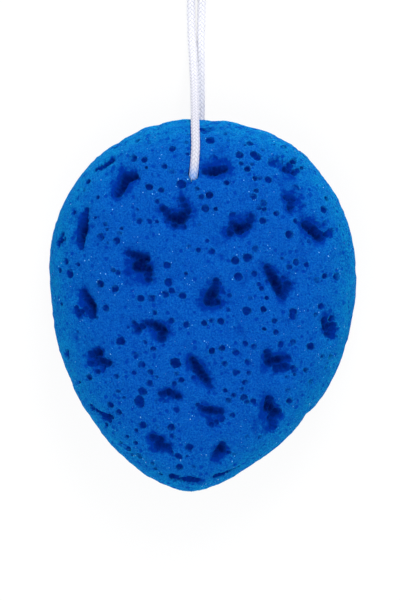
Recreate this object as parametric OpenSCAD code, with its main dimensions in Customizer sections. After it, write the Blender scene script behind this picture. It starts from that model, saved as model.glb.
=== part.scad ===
// Foam bath sponge: a drop-shaped pebble of coarse blue foam with a braided
// hanging loop. It lies on its flat back, +Z up through the domed front, +Y
// towards the crown. The origin is under the middle of the foam, on the back.

/* [Foam] */
// Length of the foam, from the blunt tip to the crown
foam_length = 145; // [125:1:165]
// Width of the foam across its widest line
foam_width = 120; // [105:1:135]
// Thickness of the foam, from the flat back to the top of the dome
foam_thickness = 46; // [40:1:54]
// Height of the rim, where the foam is widest, above the flat back
rim_height = 20; // [17:1:23]
// Depth of the slice that makes the back flat
back_slice = 3; // [2:0.5:5]
// Distance of the widest line from the middle of the length, towards the crown
wide_offset = 12; // [6:1:18]
// Sideways lean of the tip
tip_lean = -5; // [-9:0.5:9]
// Taper of the crown; under 0.5 is fuller than an ellipse
crown_taper = 0.46; // [0.42:0.01:0.52]
// Taper of the tip; over 0.5 is more pointed than an ellipse
tip_taper = 0.63; // [0.56:0.01:0.7]
// Squareness of the section; 2 is an ellipse
section_power = 2.5; // [2.2:0.1:3]

/* [Pores] */
// Depth of a pore's centre below the skin, as a share of its radius
pore_sink = 0.15; // [0.05:0.05:0.4]
// Depth of a pore against its width
pore_depth = 1.7; // [1.3:0.1:2.1]
// Mean radius of the single pores scattered over the back and rim
back_pore_r = 1.6; // [1.3:0.1:2]
// Mean radius of the bubbles that run together into a cavity on the back and rim
back_bubble_r = 2.2; // [1.8:0.1:2.6]

/* [Hanging loop] */
// Diameter of the braided cord
cord_d = 3.5; // [3:0.1:3.8]
// Clearance of the cord in its passage through the foam and in the knot, all round
cord_clearance = 0.25; // [0.15:0.05:0.5]
// Width of the knot that joins the two ends of the cord
knot_d = 12; // [11:0.5:14]
// Length of the knot along the cord
knot_length = 14; // [12:0.5:18]
// Length of each tail that stands out of the knot
tail_length = 10; // [6:0.5:14]

/* [Hidden] */

SKIN_STATIONS = 32;   // slices along the length
SKIN_SIDES = 36;      // points round each slice
PORE_SIDES = 6;       // sides of a pore
CORD_SIDES = 8;       // sides of the cord
TURN = 0.618034;      // golden share of a turn, which spreads the scattered pores
DRAWN = [120, 145, 46]; // size of the foam at which its pores and cord were laid out

crown_run = foam_length / 2 - wide_offset;
tip_run = foam_length / 2 + wide_offset;
front_rise = foam_thickness - rim_height;
back_drop = rim_height + back_slice;
layout = [foam_width / DRAWN.x, foam_length / DRAWN.y, foam_thickness / DRAWN.z];
cord_r = cord_d / 2;
passage_r = cord_r + cord_clearance;
rest_clear = 12;      // radius left free of pores in the middle of the back
mouth_clear = 9;      // distance kept between the scattered pores and the rear mouth

// Cavities of the front, each a run of bubbles [x, y, radius].
CAVITIES = [
    [[-27, 50.5, 2.2], [-30, 50, 2.8], [-31.5, 47, 3.2], [-33, 43.5, 2.6]],
    [[-45.5, 37, 1.6], [-47, 31, 2.6], [-48, 25.5, 2.4], [-47.5, 22.5, 1.6]],
    [[-15, 37.5, 1.9], [-12, 35, 1.8], [-8.5, 33.5, 3], [-6, 36.5, 2.2], [-7.5, 41, 1.7]],
    [[-28.5, 20, 1.8], [-24, 18.5, 2.4], [-25, 14.5, 3], [-21.5, 13.5, 2.3], [-21.5, 10, 1.7]],
    [[-36, 56, 1.6], [-38.5, 55, 1.5], [-41.5, 53.5, 1.2]],
    [[-55, 27, 1.8], [-56, 24.5, 1.6]],
    [[1.5, 52, 2], [5, 52.5, 2.6], [8.5, 53, 2.2], [9.5, 47.5, 1.3]],
    [[11, 28, 2], [14.5, 29.5, 2.8], [18, 31, 2.2], [19, 34.5, 1.7]],
    [[36, 56, 1.8], [33, 53, 2.2], [36.5, 52, 2], [39, 53.5, 1.3]],
    [[33, 42, 1.4], [35.5, 41.5, 1.6], [35, 38.5, 1.6], [34.5, 36.5, 1.1]],
    [[41, 31, 1.8], [43.5, 29.5, 2.2], [46, 27, 2], [50, 28, 1.8]],
    [[25.5, 14.5, 1.9], [27, 11.5, 2.4], [29, 8.5, 2.8], [30.5, 5, 2.3], [31, 2.5, 1.3]],
    [[-46.5, 5, 1.9], [-44.5, 2, 2.4], [-43.5, -0.5, 2.4], [-43, -4, 1.7], [-49, -4, 1.6]],
    [[-43.5, -19.5, 2], [-41, -19, 2.4], [-40, -22, 2.3], [-37, -22.5, 1.9], [-41, -26, 1.3]],
    [[-25, -9.5, 1.8], [-21.5, -7, 1.6], [-18, -8, 2.1], [-15.5, -9.5, 2.2], [-16.5, -12.5, 1.6]],
    [[-16, -35, 1.6], [-13, -34, 2.2], [-9.5, -35.5, 1.9]],
    [[-4, -21, 1.6], [-2.5, -23.5, 2.2], [-0.5, -26.5, 2.3], [1.5, -29, 2.2], [3, -31.5, 1.4]],
    [[-42.5, -40.5, 1.1], [-40, -42, 1.3], [-37.5, -43.5, 1.9], [-37.5, -46.5, 1]],
    [[1, -41, 2], [3.5, -41.5, 2.6], [7, -41.5, 2.2], [7.5, -45, 1.3], [3.5, -46.5, 1.5]],
    [[5.5, 9.5, 1.6], [5, 6.5, 2.2], [4, 4, 2.8], [2, 1.5, 2.2]],
    [[48, -6, 1.9], [49, -9, 2.3], [51.5, -8, 2], [51, -12, 1.9]],
    [[25.5, -18.5, 1.8], [26.5, -22, 2.5], [30, -21.5, 2.6], [33.5, -21, 1.6], [31, -24.5, 1.8]],
    [[26.5, -37, 1.8], [26.5, -40.5, 2.4], [29.5, -42.5, 2.6], [27.5, -44.5, 2.3], [28, -48, 1.7]],
    [[-19.5, -52, 2], [-16.5, -53, 2.2], [-17.5, -55.5, 2.2], [-14, -55.5, 2]],
    [[8, -54.5, 1.7], [7.5, -57, 2.5], [5.5, -59.5, 1.8], [10.5, -58, 1.2]],
    [[-11.5, -67, 1.8], [-8.5, -68, 1.3], [-5, -68, 1.8], [-2, -68.5, 1.7]]];

// Single round pores of the front [x, y, radius].
PORES = [
    [-11.5, 60.5, 1.2], [-26.5, 57, 1.4], [-34, 61.5, 1.3], [-20.5, 45.5, 1.3], [-8, 47, 1.7],
    [-44.5, 48, 1.1], [-50, 36, 1.1], [-24.5, 32.5, 1.2], [-39.5, 26.5, 1.4], [-33, 25, 1.3],
    [-53.5, 17, 1.3], [-52, 12, 1.7], [-33, 12.5, 1.2], [-13.5, 15, 1.3], [3, 42.5, 1.4],
    [1.5, 37.5, 1.4], [3, 64, 1.5], [18.5, 63, 1.2], [14.5, 58, 1.4], [21, 58, 1.8],
    [17.5, 52.5, 1.2], [26, 48.5, 1.3], [20, 42, 1.2], [24, 39.5, 1.2], [23.5, 32.5, 1.3],
    [34, 27, 1.9], [36.5, 45.5, 1.4], [39.5, 38.5, 1.6], [47.5, 37, 1.4], [42, 25, 1.2],
    [20.5, 21.5, 1.2], [17.5, 18.5, 1.6], [12.5, 17, 1.5], [14, 11, 1.5], [36.5, 16.5, 1.3],
    [52.5, 11, 1.5], [44.5, 9.5, 1.3], [-39.5, 8, 1.4], [-34, 6.5, 1.3], [-24, 2.5, 1.4],
    [-13, 8.5, 1.5], [-14, 4, 1.3], [-7.5, 3.5, 1.4], [-37.5, -1.5, 1.3], [-31.5, -14, 1.7],
    [-25.5, -19.5, 1.5], [-23.5, -23, 1.4], [-10.5, -22.5, 1.9], [-20.5, -30.5, 1.2],
    [-43.5, -28, 1.3], [-23, -33.5, 1.6], [-24.5, -37.5, 2], [-35.5, -39, 1.3], [-52.5, -19, 1.5],
    [23.5, -1.5, 1.2], [17.5, -2, 1.6], [7, -6.5, 1.3], [35.5, -3.5, 2], [13, -18.5, 1.3],
    [35.5, -14.5, 1.2], [42, -16, 1.5], [18, -22.5, 1.2], [13, -26, 1.3], [16, -36, 1.4],
    [33.5, -37, 1.3], [42, -30, 1.2], [46.5, -0.5, 1.3], [-5, -55, 1.5], [-9, -59, 1.4],
    [-12, -47.5, 1.3], [-23, -46.5, 1.5], [-24.5, -58.5, 1.2]];

BACK_PORES = 60;      // single pores scattered over the back and rim
BACK_CAVITIES = 30;   // cavities scattered over the back and rim
BACK_SPREAD = 0.45;   // most a scattered pore differs from its mean radius, in mm
BACK_REACH = 0.94;    // share of each half of the length that they cover
BACK_ANGLES = [178, 362]; // slice angles that they cover
CAVITY_RUN = [[0, 0], [1.3, 0], [1.95, 1.05]]; // its bubbles [ahead, across], against their radius
CAVITY_ROOM = 3;      // room that it keeps round it, against the radius of its bubbles
CAVITY_TILT = 0.3;    // rise of the line that it heads along
SEED = 11;

// Route of the cord, from the knot over the crown, into the foam and back out:
// [across, beyond the crown, height].
ROUTE = [
    [-3.8, 54.5, 4.6], [-4.3, 45, 2.6], [-4.1, 34.5, 2.6], [-3.5, 24, 6.6], [-3, 14, 13.8],
    [-2.8, 5.5, 22.4], [-2.7, -1, 30.4], [-2.6, -6, 35.6], [-2.5, -10.5, 38.9], [-2.7, -15, 41.2],
    [-3, -19, 42], [-3.4, -22.6, 41.2], [-3.6, -25.3, 38.9], [-3.7, -26.8, 35.8], [-3.6, -27, 32.2],
    [-3.3, -25.5, 27.4], [-2.8, -23.3, 21.2], [-2.2, -21, 15.2], [-1.8, -19.2, 10.6], [-1.5, -17.6, 7],
    [-1.3, -15.5, 4.2], [-1.1, -12.8, 2.4], [-0.9, -9.5, 1.8], [-0.7, -4, 1.8], [-0.5, 5, 1.8],
    [-0.5, 17, 1.8], [-0.5, 30, 1.8], [-0.2, 42.5, 2.4], [0.2, 54.5, 4.6]];
REAR_MOUTH = 21;      // point of the route at which it leaves the back of the foam
ROUTE_STEPS = 2;      // rings of the cord between two points of its route
KNOT_AT = [-1.7, 59.5]; // middle of the knot: across, beyond the crown
KNOT_RINGS = 10;
KNOT_SIDES = 20;
RIDGE = 0.1;          // height of the turns on the knot, against its radius
RIDGE_TURN = 200;     // degrees a turn winds along half the knot
TAIL_SIDE = 0.6;      // sideways place of a tail where it leaves the knot, against the cord
TAIL_ROOT = 0.3;      // start of a tail beyond the knot's middle, against the knot's length
TAIL_AT = [0, 0.4, 0.75, 1]; // points of a tail, as shares of its reach
TAIL_FALL = 1.3;      // how much faster a tail falls to the floor than it reaches out
TAIL_STEPS = 2;       // rings of a tail between two of its points

crown_y = foam_length / 2;
route = [for (p = ROUTE) [p.x, crown_y + p.y, p.z * layout.z]];
knot_centre = [KNOT_AT.x, crown_y + KNOT_AT.y, knot_d / 2];

// ---- closed surfaces ---------------------------------------------------

// A closed surface through rings of equal length, from one end point to the other.
module loft(start, rings, end) {
    n = len(rings[0]);
    m = len(rings);
    points = [start, for (r = rings) each r, end];
    far = 1 + (m - 1) * n;
    first_cap = [for (j = [0 : n - 1]) [0, 1 + (j + 1) % n, 1 + j]];
    last_cap = [for (j = [0 : n - 1]) [m * n + 1, far + j, far + (j + 1) % n]];
    walls = [for (i = [0 : m - 2], j = [0 : n - 1])
        let (a = 1 + i * n + j, b = 1 + i * n + (j + 1) % n)
        each [[a, b, b + n], [a, b + n, a + n]]];
    polyhedron(points, concat(first_cap, walls, last_cap), convexity = 8);
}

// ---- the skin of the pebble --------------------------------------------

// s runs from -1 at the tip, through 0 at the widest line, to 1 at the crown.
function station(y) = (y - wide_offset) / (y > wide_offset ? crown_run : tip_run);
function along(s) = wide_offset + s * (s > 0 ? crown_run : tip_run);
function half_width(s) = foam_width / 2 * pow(max(0, 1 - s * s), s > 0 ? crown_taper : tip_taper);
function lean(s) = s < 0 ? tip_lean * pow(-s, section_power) : 0;
function bulge(v) = pow(max(0, 1 - pow(abs(v), section_power)), 1 / section_power);
function bow(v) = sign(v) * pow(abs(v), 2 / section_power);

// A point of the skin: s along the length, a degrees round from the +X rim.
function skin(s, a) = [
    lean(s) + half_width(s) * bow(cos(a)),
    along(s),
    rim_height + (a < 180 ? front_rise : back_drop) * bulge(s) * bow(sin(a))];

function unit(v) = v / norm(v);
function outward(s, a) =
    let (e = 0.01) unit(cross(skin(s + e, a) - skin(s - e, a), skin(s, a - 1) - skin(s, a + 1)));

// Slice angle of the front skin over a point of the plan.
function front_angle(p) =
    let (s = station(p.y), u = (p.x - lean(s)) / half_width(s))
    acos(sign(u) * pow(min(1, abs(u)), section_power / 2));

// Where a pore sits and the way it faces: [point, direction].
function front_seat(p) =
    let (q = [p.x * layout.x, p.y * layout.y], s = station(q.y), a = front_angle(q))
    [skin(s, a), outward(s, a)];
function back_seat(s, a) =
    let (q = skin(s, a)) q.z > 0 ? [q, outward(s, a)] : [[q.x, q.y, 0], [0, 0, -1]];

module pebble() {
    turns = [for (j = [0 : SKIN_SIDES - 1]) 360 * j / SKIN_SIDES];
    slices = [for (i = [1 : SKIN_STATIONS - 1]) sin(-90 + 180 * i / SKIN_STATIONS)];
    difference() {
        loft(skin(-1, 0), [for (s = slices) [for (a = turns) skin(s, a)]], skin(1, 0));
        translate([-foam_width, -foam_length, -foam_thickness])
            cube([2 * foam_width, 2 * foam_length, foam_thickness]);
    }
}

// ---- pores and cavities ------------------------------------------------

module bubble(seat, r) {
    d = seat[1];
    translate(seat[0] - d * pore_sink * r)
        rotate([0, acos(d.z), atan2(d.y, d.x)])
        scale([1, 1, pore_depth]) sphere(r, $fn = PORE_SIDES);
}

module cavity(seats, radii) {
    for (i = [0 : len(seats) - 2])
        hull() {
            bubble(seats[i], radii[i]);
            bubble(seats[i + 1], radii[i + 1]);
        }
}

module front_pores() {
    for (c = CAVITIES) cavity([for (b = c) front_seat(b)], [for (b = c) b.z]);
    for (p = PORES) bubble(front_seat(p), p.z);
}

// Evenly spread places on the back and rim: [s, angle], the k-th of n.
function spread(k, n) = [
    BACK_REACH * (2 * (k + 0.5) / n - 1),
    BACK_ANGLES[0] + (BACK_ANGLES[1] - BACK_ANGLES[0]) * (k * TURN - floor(k * TURN))];
function is_free(p, room) =
    (p.z > 0 || norm(p) > rest_clear + room) && norm(p - route[REAR_MOUTH]) > mouth_clear + room;

module back_pores() {
    run = len(CAVITY_RUN);
    wobble = rands(-BACK_SPREAD, BACK_SPREAD, BACK_PORES + run * BACK_CAVITIES, SEED);
    heading = rands(0, 360, BACK_CAVITIES, SEED + 1);
    for (k = [0 : BACK_PORES - 1]) {
        at = spread(k, BACK_PORES);
        seat = back_seat(at[0], at[1]);
        if (is_free(seat[0], back_pore_r)) bubble(seat, back_pore_r + wobble[k]);
    }
    for (k = [0 : BACK_CAVITIES - 1]) {
        at = spread(k + 0.5, BACK_CAVITIES);
        seat = back_seat(at[0], at[1]);
        ahead = unit(cross(seat[1], [cos(heading[k]), sin(heading[k]), CAVITY_TILT]));
        across = cross(seat[1], ahead);
        seats = [for (t = CAVITY_RUN) [seat[0] + back_bubble_r * (t.x * ahead + t.y * across), seat[1]]];
        radii = [for (i = [0 : run - 1]) back_bubble_r + wobble[BACK_PORES + run * k + i]];
        if (is_free(seat[0], CAVITY_ROOM * back_bubble_r)) cavity(seats, radii);
    }
}

// ---- the cord ----------------------------------------------------------

// A smooth curve through the middle two of four points, t from 0 to 1.
function glide(p, q, r, s, t) =
    (2 * q + (r - p) * t + (2 * p - 5 * q + 4 * r - s) * t * t + (3 * q - p - 3 * r + s) * t * t * t) / 2;
function off_floor(p) = [p.x, p.y, max(p.z, cord_r)];
function centreline(pts, steps) =
    let (n = len(pts))
    [for (i = [0 : n - 2], k = [0 : steps - 1])
        off_floor(glide(pts[max(0, i - 1)], pts[i], pts[i + 1], pts[min(n - 1, i + 2)], k / steps)),
     off_floor(pts[n - 1])];

// A round tube of radius r along a line of points.
module tube(line, r) {
    n = len(line);
    rings = [for (i = [0 : n - 1])
        let (t = unit(line[min(n - 1, i + 1)] - line[max(0, i - 1)]),
             x = unit([1, 0, 0] - t * t.x), y = cross(x, t))
        [for (j = [0 : CORD_SIDES - 1])
            let (a = 360 * j / CORD_SIDES) line[i] + r * (cos(a) * x + sin(a) * y)]];
    loft(line[0], rings, line[n - 1]);
}

module route_tube(r) { tube(centreline(route, ROUTE_STEPS), r); }

// ---- the knot ----------------------------------------------------------

// A point of the knot's outer shape: v from -1 to 1 along it, a degrees round it.
function knot_skin(v, a) =
    let (r = knot_d / 2 * bulge(v) / (1 + RIDGE) * (1 - RIDGE * cos(2 * a + RIDGE_TURN * v)))
    knot_centre + [r * cos(a), v * knot_length / 2, r * sin(a)];

module knot_ball() {
    turns = [for (j = [0 : KNOT_SIDES - 1]) 360 * j / KNOT_SIDES];
    slices = [for (i = [1 : KNOT_RINGS - 1]) -cos(180 * i / KNOT_RINGS)];
    loft(knot_skin(-1, 0), [for (v = slices) [for (a = turns) knot_skin(v, a)]], knot_skin(1, 0));
}

module tail(side) {
    root = knot_centre + [side * cord_d * TAIL_SIDE, knot_length * TAIL_ROOT, 0];
    reach = knot_length * (0.5 - TAIL_ROOT) + tail_length;
    fall = knot_d / 2 - cord_r;
    line = [for (t = TAIL_AT) root + [side * cord_d * t, reach * t, -fall * min(1, TAIL_FALL * t)]];
    tube(centreline(line, TAIL_STEPS), cord_r);
}

// ---- the three pieces --------------------------------------------------

module foam_body() color([0.05, 0.36, 0.78]) difference() {
    pebble();
    front_pores();
    back_pores();
    route_tube(passage_r);
}

module hanging_cord() color([0.93, 0.93, 0.95]) route_tube(cord_r);

module cord_knot() color([0.9, 0.9, 0.93]) difference() {
    union() {
        knot_ball();
        tail(1);
        tail(-1);
    }
    route_tube(passage_r);
}

foam_body();
hanging_cord();
cord_knot();
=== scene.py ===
"""Foam bath sponge on its flat back: a pebble of coarse blue foam, pitted with pores and cavities, and
a white braided cord that runs through its crown to a knot.

Lists and shapes are in millimetres and become metres where a mesh is made. +Z goes up through the domed
front and +Y along the length, towards the crown."""

import bmesh
import bpy
import numpy as np
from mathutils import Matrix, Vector


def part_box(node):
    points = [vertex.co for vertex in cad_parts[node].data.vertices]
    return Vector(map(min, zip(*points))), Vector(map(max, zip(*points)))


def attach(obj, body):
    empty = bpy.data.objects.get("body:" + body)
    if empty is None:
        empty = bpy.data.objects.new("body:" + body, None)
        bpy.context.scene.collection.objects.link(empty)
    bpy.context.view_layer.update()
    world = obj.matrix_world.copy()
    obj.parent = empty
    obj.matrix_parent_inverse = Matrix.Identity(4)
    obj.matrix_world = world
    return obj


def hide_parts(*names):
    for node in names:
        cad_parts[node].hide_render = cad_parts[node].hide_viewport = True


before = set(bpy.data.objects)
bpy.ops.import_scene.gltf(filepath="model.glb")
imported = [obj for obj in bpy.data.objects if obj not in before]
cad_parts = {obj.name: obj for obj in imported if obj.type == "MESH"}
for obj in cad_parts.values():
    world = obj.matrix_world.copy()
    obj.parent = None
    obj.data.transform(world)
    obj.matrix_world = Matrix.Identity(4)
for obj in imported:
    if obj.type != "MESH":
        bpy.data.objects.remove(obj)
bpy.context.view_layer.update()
MM = 0.001

# ---- camera -------------------------------------------------------------------

VIEW_AT = (-0.6, 1.75, 20.0)   # what the middle of the frame looks at, at the height of the rim
VIEW_HEIGHT = 234.4            # what the frame's height spans there
VIEW_DISTANCE = 3000.0

camera = bpy.data.objects.new("camera", bpy.data.cameras.new("camera"))
bpy.context.scene.collection.objects.link(camera)
camera.location = (VIEW_AT[0] * MM, VIEW_AT[1] * MM, (VIEW_AT[2] + VIEW_DISTANCE) * MM)
camera.data.sensor_fit = "VERTICAL"
camera.data.lens = camera.data.sensor_height * VIEW_DISTANCE / VIEW_HEIGHT
camera.data.clip_start, camera.data.clip_end = 0.01, 20
bpy.context.scene.camera = camera


# ---- materials: one class for values, one for nodes ---------------------------

class Value:
    """A socket that takes part in sums: each operator adds its Math node."""

    def __init__(self, finish, socket):
        self.finish, self.socket = finish, socket

    def math(self, operation, *others):
        inputs = dict(enumerate((self, *others)))
        return self.finish.add("Math", {"operation": operation}, inputs)

    def __add__(self, other):
        return self.math("ADD", other)

    def __mul__(self, other):
        return self.math("MULTIPLY", other)

    def __sub__(self, other):
        return self.math("SUBTRACT", other)

    def __rsub__(self, other):
        return self.finish.add("Math", {"operation": "SUBTRACT"}, {0: other, 1: self})

    __radd__, __rmul__ = __add__, __mul__

    def ramp(self, low, high):
        """0 up to low, 1 from high, and a smooth rise between them; it falls where low is over high."""
        return self.finish.add("MapRange", {"interpolation_type": "SMOOTHSTEP"},
                               {"Value": self, "From Min": low, "From Max": high})


class Finish:
    """The nodes of a material or a world: add() makes any node from its type, its settings and the values
    of its sockets."""

    def __init__(self, owner):
        self.owner = owner
        owner.use_nodes = True
        self.tree = owner.node_tree
        self.tree.nodes.clear()

    def add(self, kind, settings=None, sockets=None, out=0):
        made = self.tree.nodes.new("ShaderNode" + kind)
        for key, value in (settings or {}).items():
            setattr(made, key, value)
        for key, value in (sockets or {}).items():
            if isinstance(value, Value):
                self.tree.links.new(value.socket, made.inputs[key])
            else:
                made.inputs[key].default_value = value
        return Value(self, made.outputs[out]) if len(made.outputs) else made

    def place(self):
        """Object coordinates in millimetres."""
        metres = self.add("TexCoord", out="Object")
        return self.add("VectorMath", {"operation": "SCALE"}, {0: metres, "Scale": 1 / MM})

    def kept(self, name):
        """A number that the mesh holds at each of its points."""
        return self.add("Attribute", {"attribute_name": name}, out="Fac")

    def mix(self, share, a, b):
        return self.add("Mix", {"data_type": "RGBA"}, {0: share, 6: a, 7: b}, out=2)

    def end(self, **sockets):
        surface = self.add("BsdfPrincipled", {}, {k.replace("_", " "): v for k, v in sockets.items()})
        self.add("OutputMaterial", {}, {"Surface": surface})
        return self.owner

    def background(self):
        """1 for rays from the camera, off gloss or through glass, which meet a white background."""
        seen, gloss, glass = (self.add("LightPath", out=f"Is {ray} Ray")
                              for ray in ("Camera", "Glossy", "Transmission"))
        return seen.math("MAXIMUM", gloss).math("MAXIMUM", glass)


def new_finish(name):
    return Finish(bpy.data.materials.new(name))


def srgb(*levels):
    """A colour as linear light, from its levels of 255."""
    c = np.array(levels) / 255
    return (*np.where(c < 0.04045, c / 12.92, ((c + 0.055) / 1.055) ** 2.4), 1.0)


# ---- meshes -------------------------------------------------------------------

def keep(mesh, **kept):
    """Gives each of a mesh's points the numbers that its material reads."""
    for key, values in kept.items():
        mesh.attributes.new(key, "FLOAT", "POINT").data.foreach_set("value", np.ravel(values).astype("f"))


def mesh_object(name, points, faces, material=None, smooth=True, **kept):
    """An object at the origin from points in millimetres, with the numbers that its points hold."""
    mesh = bpy.data.meshes.new(name)
    mesh.from_pydata((np.asarray(points) * MM).tolist(), [], faces)
    mesh.validate()
    keep(mesh, **kept)
    mesh.shade_smooth() if smooth else mesh.shade_flat()
    made = bpy.data.objects.new(name, mesh)
    bpy.context.scene.collection.objects.link(made)
    if material:
        mesh.materials.append(material)
    return made


def points_of(mesh):
    """A mesh's points in millimetres."""
    found = np.empty(len(mesh.vertices) * 3, "f")
    mesh.vertices.foreach_get("co", found)
    return found.reshape(-1, 3).astype(float) / MM


def closed_grid(rows, columns):
    """Faces of a tube of rows x columns points, closed at each end by one more point."""
    i, j = np.meshgrid(np.arange(rows - 1), np.arange(columns), indexing="ij")
    a, b = i * columns + j, i * columns + (j + 1) % columns
    walls = np.stack([a, a + columns, b + columns, b], -1).reshape(-1, 4)
    ring = np.arange(columns)
    last = (rows - 1) * columns
    start = np.stack([np.full(columns, rows * columns), ring, (ring + 1) % columns], -1)
    end = np.stack([np.full(columns, rows * columns + 1), last + (ring + 1) % columns, last + ring], -1)
    return [f.tolist() for part in (walls, start, end) for f in part]


def joined(surfaces):
    """One surface from several. Each is its points, its faces and any numbers that its points hold."""
    points, faces, *kept = zip(*surfaces)
    start = np.cumsum([0] + [len(own) for own in points]).tolist()
    moved = [[v + first for v in face] for first, own in zip(start, faces) for face in own]
    return (np.concatenate(points), moved, *(np.concatenate(numbers) for numbers in kept))


def unit(vectors):
    """The vectors at length 1."""
    return vectors / np.linalg.norm(vectors, axis=1)[:, None]


# ---- the foam: its skin -------------------------------------------------------

FOAM_LOW, FOAM_HIGH = (np.array(corner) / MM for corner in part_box("foam_body"))
LENGTH, WIDTH, THICKNESS = (FOAM_HIGH - FOAM_LOW)[[1, 0, 2]]
CROWN = FOAM_HIGH[1]
RIM = 20.0           # height of the rim
BACK_SLICE = 3.0     # how much the flat back cuts off
WIDE = 12.0          # how far the widest line lies towards the crown
TIP_LEAN = -5.0
CROWN_TAPER, TIP_TAPER = 0.46, 0.63
POWER = 2.5          # squareness of the section
MIDDLE = np.array([0, WIDE, RIM])
READ_AT = 0.97       # share of the way out from the middle at which the skin's direction is read
DEEPEST = 20.0       # depth at which the depth below the skin stops rising
BACK_FADE = 3.0      # height over the flat back in which unevenness fades out


def bulge(v):
    """Height of a rounded square of half width 1, at v from -1 to 1 across it."""
    return np.maximum(0, 1 - np.abs(v) ** POWER) ** (1 / POWER)


def plan(x, y):
    """Where a point of the plan lies: s from -1 at the tip through 0 at the widest line to 1 at the
    crown, u from -1 to 1 across."""
    s = np.clip((y - WIDE) / np.where(y > WIDE, LENGTH / 2 - WIDE, LENGTH / 2 + WIDE), -1, 1)
    half = WIDTH / 2 * np.maximum(1e-9, 1 - s * s) ** np.where(s > 0, CROWN_TAPER, TIP_TAPER)
    lean = TIP_LEAN * np.maximum(0, -s) ** POWER
    return s, np.clip((x - lean) / half, -1, 1), half, lean


def skin(s, a):
    """Points of the pebble's skin: s along it, a radians round each slice from the +X rim. Each slice is a
    rounded square, and the flat back cuts it off."""
    y = WIDE + s * np.where(s > 0, LENGTH / 2 - WIDE, LENGTH / 2 + WIDE)
    _, _, half, lean = plan(0, y)
    bow = lambda v: np.sign(v) * np.abs(v) ** (2 / POWER)
    rise = np.where(np.sin(a) > 0, THICKNESS - RIM, RIM + BACK_SLICE)
    z = RIM + rise * bulge(s) * bow(np.sin(a))
    return np.stack(np.broadcast_arrays(lean + half * bow(np.cos(a)), y, np.maximum(0, z)), -1)


def lumps(p, size, seed, waves=14):
    """Smooth lumps over points, about from -1 to 1: a mean of sine waves whose lengths are near size."""
    draw = np.random.default_rng(seed)
    way = unit(draw.normal(size=(waves, 3)))
    way *= 2 * np.pi / (size * draw.uniform(0.7, 1.5, waves))[:, None]
    return np.sin(p @ way.T + draw.uniform(0, 2 * np.pi, waves)).sum(-1) / np.sqrt(waves)


def slope(field, p, step=0.05):
    """Gradient of a field at points, from its change over a small step each way."""
    return np.stack([(field(p + d) - field(p - d)) / (2 * step) for d in np.eye(3) * step], -1)


def inside(p):
    """0 on the skin and more inside it: what the three rounded squares leave of 1."""
    s, u, _, _ = plan(p[..., 0], p[..., 1])
    rise = np.where(p[..., 2] > RIM, THICKNESS - RIM, RIM + BACK_SLICE)
    return (1 - np.abs(s) ** POWER) * (1 - np.abs(u) ** POWER) - np.abs((p[..., 2] - RIM) / rise) ** POWER


def facing(p):
    """Outward direction of the skin near points. It is read a little further in, where the field isn't
    flat."""
    g = -slope(inside, MIDDLE + READ_AT * (p - MIDDLE))
    return g / np.maximum(1e-9, np.linalg.norm(g, axis=-1))[..., None]


def depth(p):
    """Depth below the skin, from the field and its slope, and no more than the height over the back."""
    below = inside(p) / np.maximum(1e-6, np.linalg.norm(slope(inside, p), axis=-1))
    return np.clip(np.minimum(below, p[..., 2]), 0, DEEPEST)


def front_seat(x, y):
    """Point of the front skin over a point of the plan."""
    s, u, _, _ = plan(x, y)
    return np.stack([x, y, RIM + (THICKNESS - RIM) * bulge(s) * bulge(u)], -1)


# ---- the cord -----------------------------------------------------------------

CORD_D = 3.5
LEAD = 14.0          # length in which a yarn of the braid goes once round the cord
YARNS = 8            # yarns each way round
RELIEF = 0.2         # height of the yarns over their crossings, against the cord's radius
ROUNDNESS, WEAVE = 0.6, 0.4   # how much of it comes from a yarn's own section and from its weaving
FIRST_YARN = 0.25    # turn of the braid round the cord, in yarns
RING_STEP = 0.18     # distance between the rings of the cord's mesh
SPAN_STEPS = 40      # steps in which a smooth line is worked out between two of its points
PAINTED_LIGHT_RISE = 40     # length over which a strand turns from its painted shaded colour to its lit one: the front one beyond the crown, the rear before

# Route of the cord [across, beyond the crown, height], from the knot over the crown, into the foam
# and back out. It goes in at FRONT_MOUTH and out at REAR_MOUTH, and at SPLIT between them the front
# strand becomes the rear one.
ROUTE = [
    (-3.8, 54.5, 4.6), (-4.3, 45, 2.6), (-4.1, 34.5, 2.6), (-3.5, 24, 6.6), (-3, 14, 13.8),
    (-2.8, 5.5, 22.4), (-2.7, -1, 30.4), (-2.6, -6, 35.6), (-2.5, -10.5, 38.9), (-2.7, -15, 41.2),
    (-3, -19, 42), (-3.4, -22.6, 41.2), (-3.6, -25.3, 38.9), (-3.7, -26.8, 35.8), (-3.6, -27, 32.2),
    (-3.3, -25.5, 27.4), (-2.8, -23.3, 21.2), (-2.2, -21, 15.2), (-1.8, -19.2, 10.6), (-1.5, -17.6, 7),
    (-1.3, -15.5, 4.2), (-1.1, -12.8, 2.4), (-0.9, -9.5, 1.8), (-0.7, -4, 1.8), (-0.5, 5, 1.8),
    (-0.5, 17, 1.8), (-0.5, 30, 1.8), (-0.2, 42.5, 2.4), (0.2, 54.5, 4.6)]
FRONT_MOUTH, SPLIT, REAR_MOUTH = 11, 16, 21

# The cord's white in two copies: a painted shaded one, dimmer and lavender, and a lighter lit one that also
# lifts the rear strand out of its shade on the floor.
SHADED_YARN, LIT_YARN = srgb(204, 203, 212), srgb(236, 236, 241)
# Painted shade in the crevices between the yarns, for the shaded and the lit copy.
DIM_GAP_SHADE, LIT_GAP_SHADE = srgb(118, 118, 142), srgb(150, 150, 168)     # between the yarns
FIBRE_GREY = srgb(185, 185, 195)
# Painted blue light, reflected from the foam onto the cord where it lies low on it.
PAINTED_FOAM_BOUNCE = srgb(45, 135, 220)


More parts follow.
